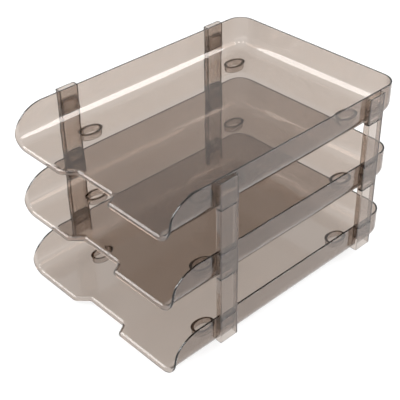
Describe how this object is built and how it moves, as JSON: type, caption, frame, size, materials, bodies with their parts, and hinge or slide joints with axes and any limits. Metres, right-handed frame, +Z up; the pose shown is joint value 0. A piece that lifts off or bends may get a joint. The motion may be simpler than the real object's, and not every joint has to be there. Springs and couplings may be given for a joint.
{
  "type": "letter tray",
  "caption": "Stack of open-front letter trays in clear smoke-tinted plastic, joined by risers that plug into sockets on the side walls.",
  "frame": {"origin": "on the surface the bottom tray stands on, in the middle of the stack's width and depth", "axes": "+X to the right, +Y from the open front to the back wall, +Z up"},
  "size_m": [0.2688, 0.358, 0.229],
  "materials": {
    "smoke_tray": "polished transparent",
    "smoke_riser": "polished transparent"
  },
  "bodies": {
    "bottom_tray": {"tray_bottom": "smoke_tray"},
    "lower_risers": {"riser_lower_front_left": "smoke_riser", "riser_lower_back_left": "smoke_riser", "riser_lower_front_right": "smoke_riser", "riser_lower_back_right": "smoke_riser"},
    "middle_tray": {"tray_middle": "smoke_tray"},
    "upper_risers": {"riser_upper_front_left": "smoke_riser", "riser_upper_back_left": "smoke_riser", "riser_upper_front_right": "smoke_riser", "riser_upper_back_right": "smoke_riser"},
    "top_tray": {"tray_top": "smoke_tray"}
  },
  "joints": [
    {"name": "lower_risers_lift", "type": "slide", "parent": "bottom_tray", "child": "lower_risers", "axis": [0, 0, 1], "range_m": [0, 0.04]},
    {"name": "middle_tray_lift", "type": "slide", "parent": "lower_risers", "child": "middle_tray", "axis": [0, 0, 1], "range_m": [0, 0.04]},
    {"name": "upper_risers_lift", "type": "slide", "parent": "middle_tray", "child": "upper_risers", "axis": [0, 0, 1], "range_m": [0, 0.04]},
    {"name": "top_tray_lift", "type": "slide", "parent": "upper_risers", "child": "top_tray", "axis": [0, 0, 1], "range_m": [0, 0.04]}
  ]
}
